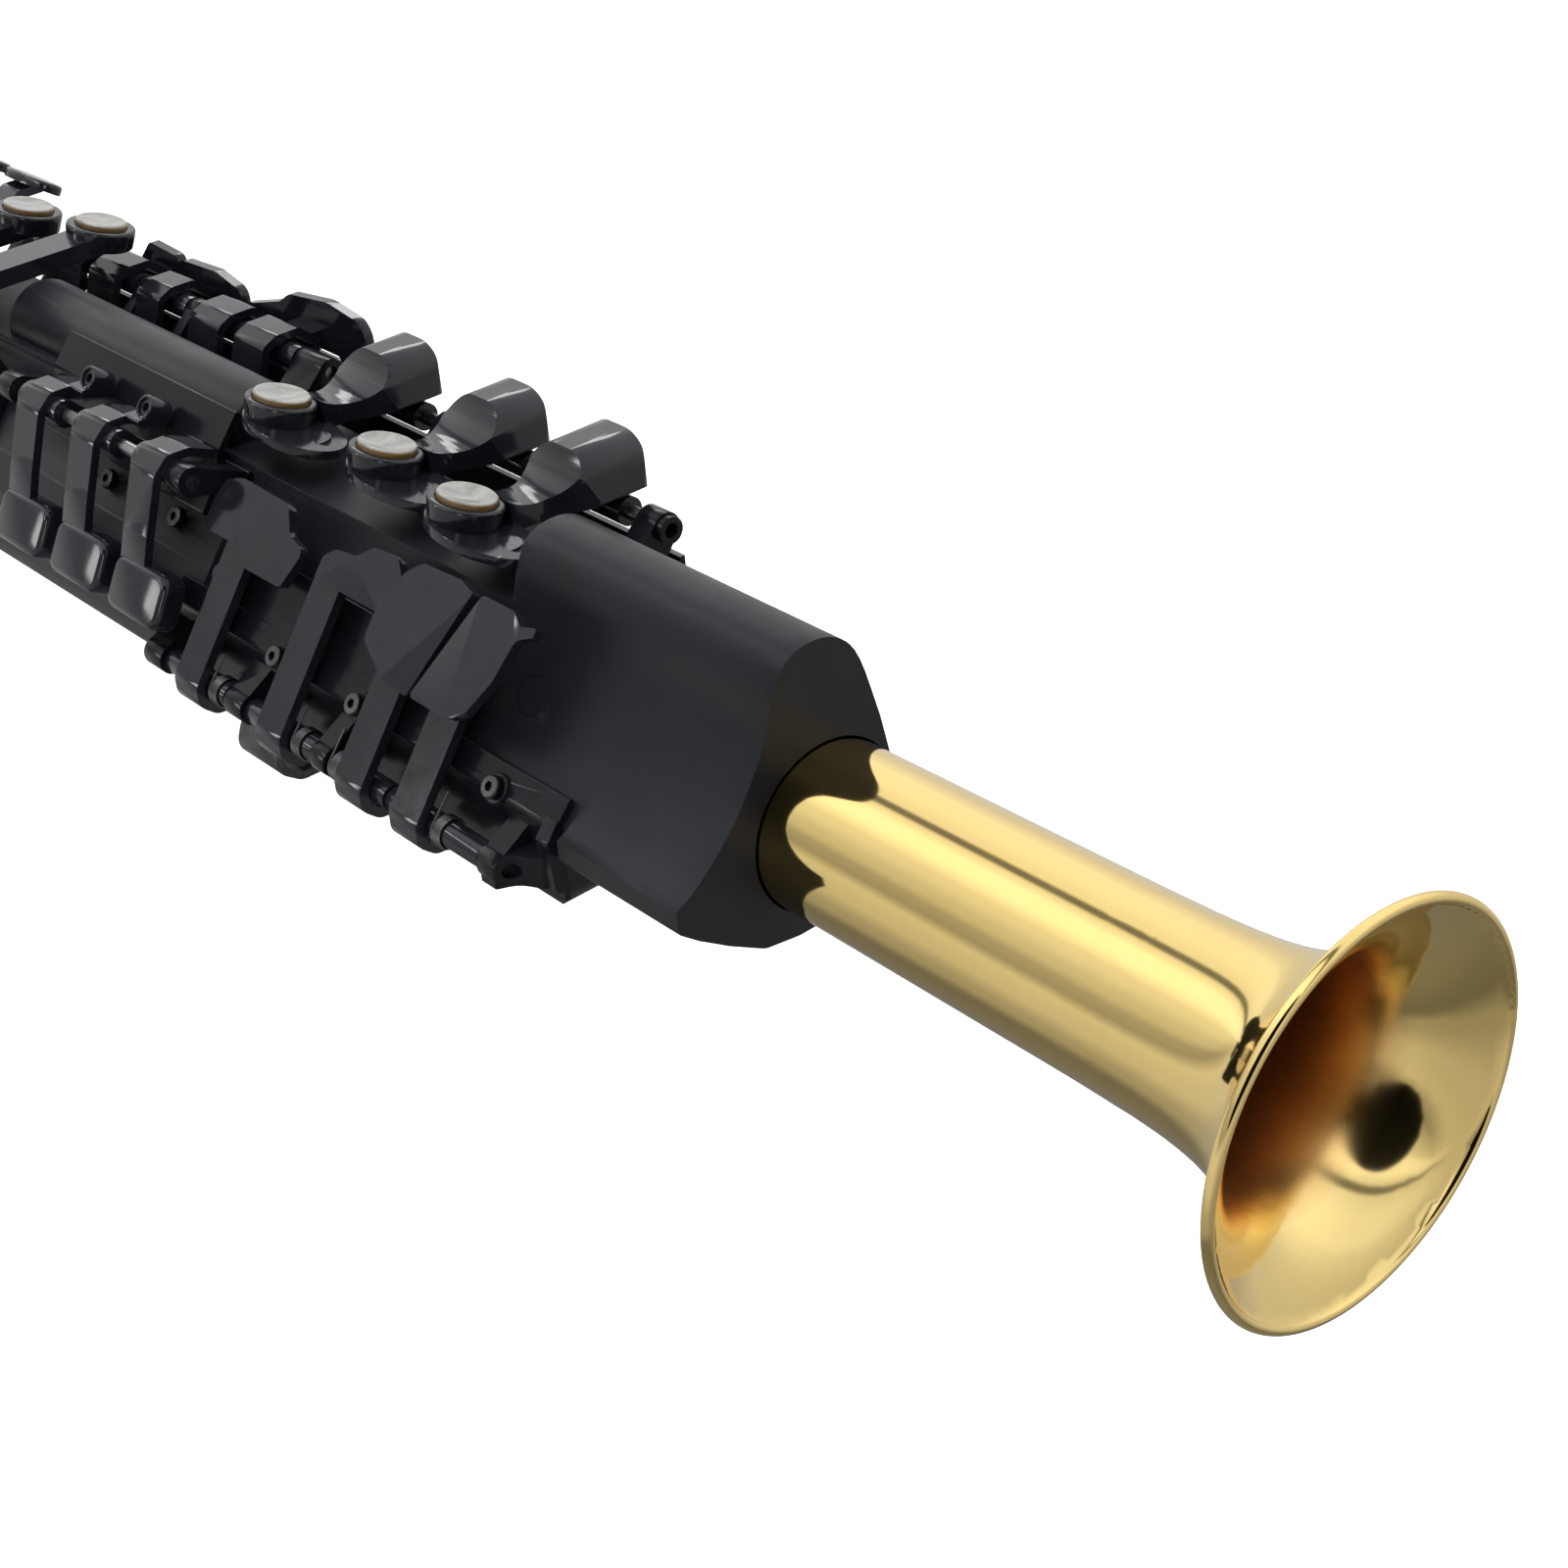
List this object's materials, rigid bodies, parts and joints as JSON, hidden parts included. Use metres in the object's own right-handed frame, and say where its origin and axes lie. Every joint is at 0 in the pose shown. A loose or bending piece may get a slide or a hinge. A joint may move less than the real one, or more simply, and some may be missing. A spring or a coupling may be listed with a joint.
{
  "type": "electronic saxophone",
  "caption": "Straight electronic saxophone: key-covered plastic body, flared brass bell, reed mouthpiece, hinged sprung keys with pearl touches.",
  "frame": {"origin": "centre of the bell mouth", "axes": "+X out of the bell along the body, +Z towards the front keys, +Y towards the player's left hand side"},
  "size_m": [0.6991, 0.0886, 0.083],
  "materials": {
    "brass": "polished gold lacquer",
    "shell": "fine satin charcoal black",
    "cover": "fine satin charcoal black",
    "inner": "matte",
    "board": "solder resist",
    "cell": "wrapped cell",
    "bracket": "satin",
    "steel": "dark satin",
    "dark_steel": "black zinc",
    "jack": "gloss",
    "neck": "semi gloss black",
    "cork": "natural cork",
    "ebonite": "polished",
    "cane": "cane",
    "rest": "matte",
    "button": "matte",
    "key": "polished black",
    "pearl": "silver grey mother of pearl"
  },
  "bodies": {
    "instrument": {"bell": "brass", "front_shell": "shell", "rear_shell": "shell", "spine_cover": "cover", "bell_bulkhead": "inner", "speaker": "inner", "breath_sensor": "inner", "main_board": "board", "battery_cells": "cell", "side_key_guard": "bracket", "pinky_key_base": "bracket", "far_key_base": "bracket", "upper_key_base": "bracket", "palm_key_base": "bracket", "hinge_rods": "steel", "ligature": "steel", "ligature_screws": "steel", "strap_ring": "steel", "base_screws": "dark_steel", "shell_screws": "dark_steel", "thumb_hook": "dark_steel", "jack_sockets": "jack", "neck": "neck", "neck_cork": "cork", "mouthpiece": "ebonite", "reed": "cane", "thumb_rest": "rest"},
    "key_f": {"key_f": "key", "pearl_f": "pearl"},
    "key_e": {"key_e": "key", "pearl_e": "pearl"},
    "key_d": {"key_d": "key", "pearl_d": "pearl"},
    "key_g": {"key_g": "key", "pearl_g": "pearl"},
    "key_a": {"key_a": "key", "pearl_a": "pearl"},
    "key_b": {"key_b": "key", "pearl_b": "pearl"},
    "key_bis": {"key_bis": "key"},
    "side_key_e": {"side_key_e": "key"},
    "side_key_c": {"side_key_c": "key"},
    "side_key_b_flat": {"side_key_b_flat": "key"},
    "high_f_sharp_lever": {"high_f_sharp_lever": "key"},
    "trill_f_sharp_lever": {"trill_f_sharp_lever": "key"},
    "low_e_flat_lever": {"low_e_flat_lever": "key"},
    "low_c_lever": {"low_c_lever": "key"},
    "table_g_sharp": {"table_g_sharp": "key"},
    "table_c_sharp": {"table_c_sharp": "key"},
    "table_b": {"table_b": "key"},
    "table_b_flat": {"table_b_flat": "key"},
    "palm_key_d": {"palm_key_d": "key"},
    "palm_key_e_flat": {"palm_key_e_flat": "key"},
    "palm_key_f": {"palm_key_f": "key"},
    "octave_key": {"octave_key": "key"},
    "analog_lever": {"analog_lever": "button"},
    "power_button": {"power_button": "button"},
    "volume_up_button": {"volume_up_button": "button"},
    "volume_down_button": {"volume_down_button": "button"},
    "battery_cover": {"battery_cover": "shell"}
  },
  "joints": [
    {"name": "key_f_hinge", "type": "hinge", "parent": "instrument", "child": "key_f", "pos_m": [-0.297, 0.0274, 0.0256], "axis": [1, 0, 0], "range_deg": [0, 5.5], "stiffness_Nm_per_rad": 0.03429, "springref_deg": -20.05},
    {"name": "key_e_hinge", "type": "hinge", "parent": "instrument", "child": "key_e", "pos_m": [-0.257, 0.0274, 0.0256], "axis": [1, 0, 0], "range_deg": [0, 5.5], "stiffness_Nm_per_rad": 0.03429, "springref_deg": -20.05},
    {"name": "key_d_hinge", "type": "hinge", "parent": "instrument", "child": "key_d", "pos_m": [-0.2235, 0.0274, 0.0256], "axis": [1, 0, 0], "range_deg": [0, 5.5], "stiffness_Nm_per_rad": 0.03429, "springref_deg": -20.05},
    {"name": "key_g_hinge", "type": "hinge", "parent": "instrument", "child": "key_g", "pos_m": [-0.42, -0.024, 0.0275], "axis": [-1, 0, 0], "range_deg": [0, 2.6], "stiffness_Nm_per_rad": 0.03429, "springref_deg": -20.05},
    {"name": "key_a_hinge", "type": "hinge", "parent": "instrument", "child": "key_a", "pos_m": [-0.447, -0.024, 0.0275], "axis": [-1, 0, 0], "range_deg": [0, 3.5], "stiffness_Nm_per_rad": 0.03429, "springref_deg": -20.05},
    {"name": "key_b_hinge", "type": "hinge", "parent": "instrument", "child": "key_b", "pos_m": [-0.49, -0.024, 0.0275], "axis": [-1, 0, 0], "range_deg": [0, 3.5], "stiffness_Nm_per_rad": 0.03429, "springref_deg": -20.05},
    {"name": "key_bis_hinge", "type": "hinge", "parent": "instrument", "child": "key_bis", "pos_m": [-0.4705, -0.024, 0.0275], "axis": [-1, 0, 0], "range_deg": [0, 3.5], "stiffness_Nm_per_rad": 0.02286, "springref_deg": -20.05},
    {"name": "side_key_e_hinge", "type": "hinge", "parent": "instrument", "child": "side_key_e", "pos_m": [-0.309, -0.0278, 0.0273], "axis": [1, 0, 0], "range_deg": [0, 7], "stiffness_Nm_per_rad": 0.02286, "springref_deg": -20.05},
    {"name": "side_key_c_hinge", "type": "hinge", "parent": "instrument", "child": "side_key_c", "pos_m": [-0.3355, -0.0278, 0.0273], "axis": [1, 0, 0], "range_deg": [0, 7], "stiffness_Nm_per_rad": 0.02286, "springref_deg": -20.05},
    {"name": "side_key_b_flat_hinge", "type": "hinge", "parent": "instrument", "child": "side_key_b_flat", "pos_m": [-0.361, -0.0278, 0.0273], "axis": [1, 0, 0], "range_deg": [0, 7], "stiffness_Nm_per_rad": 0.02286, "springref_deg": -20.05},
    {"name": "high_f_sharp_lever_hinge", "type": "hinge", "parent": "instrument", "child": "high_f_sharp_lever", "pos_m": [-0.284, -0.041, -0.0106], "axis": [-1, 0, 0], "range_deg": [0, 3.5], "stiffness_Nm_per_rad": 0.02857, "springref_deg": -20.05},
    {"name": "trill_f_sharp_lever_hinge", "type": "hinge", "parent": "instrument", "child": "trill_f_sharp_lever", "pos_m": [-0.2505, -0.041, -0.0106], "axis": [-1, 0, 0], "range_deg": [0, 3.5], "stiffness_Nm_per_rad": 0.02857, "springref_deg": -20.05},
    {"name": "low_e_flat_lever_hinge", "type": "hinge", "parent": "instrument", "child": "low_e_flat_lever", "pos_m": [-0.221, -0.041, -0.0106], "axis": [-1, 0, 0], "range_deg": [0, 3.5], "stiffness_Nm_per_rad": 0.02857, "springref_deg": -20.05},
    {"name": "low_c_lever_hinge", "type": "hinge", "parent": "instrument", "child": "low_c_lever", "pos_m": [-0.194, -0.041, -0.0106], "axis": [-1, 0, 0], "range_deg": [0, 3.5], "stiffness_Nm_per_rad": 0.02857, "springref_deg": -20.05},
    {"name": "table_g_sharp_hinge", "type": "hinge", "parent": "instrument", "child": "table_g_sharp", "pos_m": [-0.4287, 0.0274, 0.0256], "axis": [-1, 0, 0], "range_deg": [0, 6], "stiffness_Nm_per_rad": 0.02286, "springref_deg": -20.05},
    {"name": "table_c_sharp_hinge", "type": "hinge", "parent": "instrument", "child": "table_c_sharp", "pos_m": [-0.3973, 0.0274, 0.0256], "axis": [-1, 0, 0], "range_deg": [0, 6], "stiffness_Nm_per_rad": 0.02286, "springref_deg": -20.05},
    {"name": "table_b_hinge", "type": "hinge", "parent": "instrument", "child": "table_b", "pos_m": [-0.3723, 0.0274, 0.0256], "axis": [-1, 0, 0], "range_deg": [0, 6], "stiffness_Nm_per_rad": 0.02286, "springref_deg": -20.05},
    {"name": "table_b_flat_hinge", "type": "hinge", "parent": "instrument", "child": "table_b_flat", "pos_m": [-0.3502, 0.0274, 0.0256], "axis": [-1, 0, 0], "range_deg": [0, 6], "stiffness_Nm_per_rad": 0.02286, "springref_deg": -20.05},
    {"name": "palm_key_d_hinge", "type": "hinge", "parent": "instrument", "child": "palm_key_d", "pos_m": [-0.485, 0.0274, 0.0256], "axis": [-1, 0, 0], "range_deg": [0, 8], "stiffness_Nm_per_rad": 0.02286, "springref_deg": -20.05},
    {"name": "palm_key_e_flat_hinge", "type": "hinge", "parent": "instrument", "child": "palm_key_e_flat", "pos_m": [-0.514, 0.0274, 0.0256], "axis": [-1, 0, 0], "range_deg": [0, 8], "stiffness_Nm_per_rad": 0.02286, "springref_deg": -20.05},
    {"name": "palm_key_f_hinge", "type": "hinge", "parent": "instrument", "child": "palm_key_f", "pos_m": [-0.542, 0.0274, 0.0256], "axis": [-1, 0, 0], "range_deg": [0, 8], "stiffness_Nm_per_rad": 0.02286, "springref_deg": -20.05},
    {"name": "octave_key_hinge", "type": "hinge", "parent": "instrument", "child": "octave_key", "pos_m": [-0.53, 0, -0.03], "axis": [0, -1, 0], "range_deg": [0, 6], "stiffness_Nm_per_rad": 0.02, "springref_deg": -20.05},
    {"name": "analog_lever_hinge", "type": "hinge", "parent": "instrument", "child": "analog_lever", "pos_m": [-0.262, 0, -0.029], "axis": [0, 1, 0], "range_deg": [-20, 20], "stiffness_Nm_per_rad": 0.01},
    {"name": "power_button_slide", "type": "slide", "parent": "instrument", "child": "power_button", "axis": [0, 0, 1], "range_m": [0, 0.0012], "stiffness_N_per_m": 400, "springref_m": -0.002},
    {"name": "volume_up_button_slide", "type": "slide", "parent": "instrument", "child": "volume_up_button", "axis": [0, 0, 1], "range_m": [0, 0.0012], "stiffness_N_per_m": 400, "springref_m": -0.002},
    {"name": "volume_down_button_slide", "type": "slide", "parent": "instrument", "child": "volume_down_button", "axis": [0, 0, 1], "range_m": [0, 0.0012], "stiffness_N_per_m": 400, "springref_m": -0.002},
    {"name": "battery_cover_slide", "type": "slide", "parent": "instrument", "child": "battery_cover", "axis": [0, 0, -1], "range_m": [0, 0.02]}
  ]
}
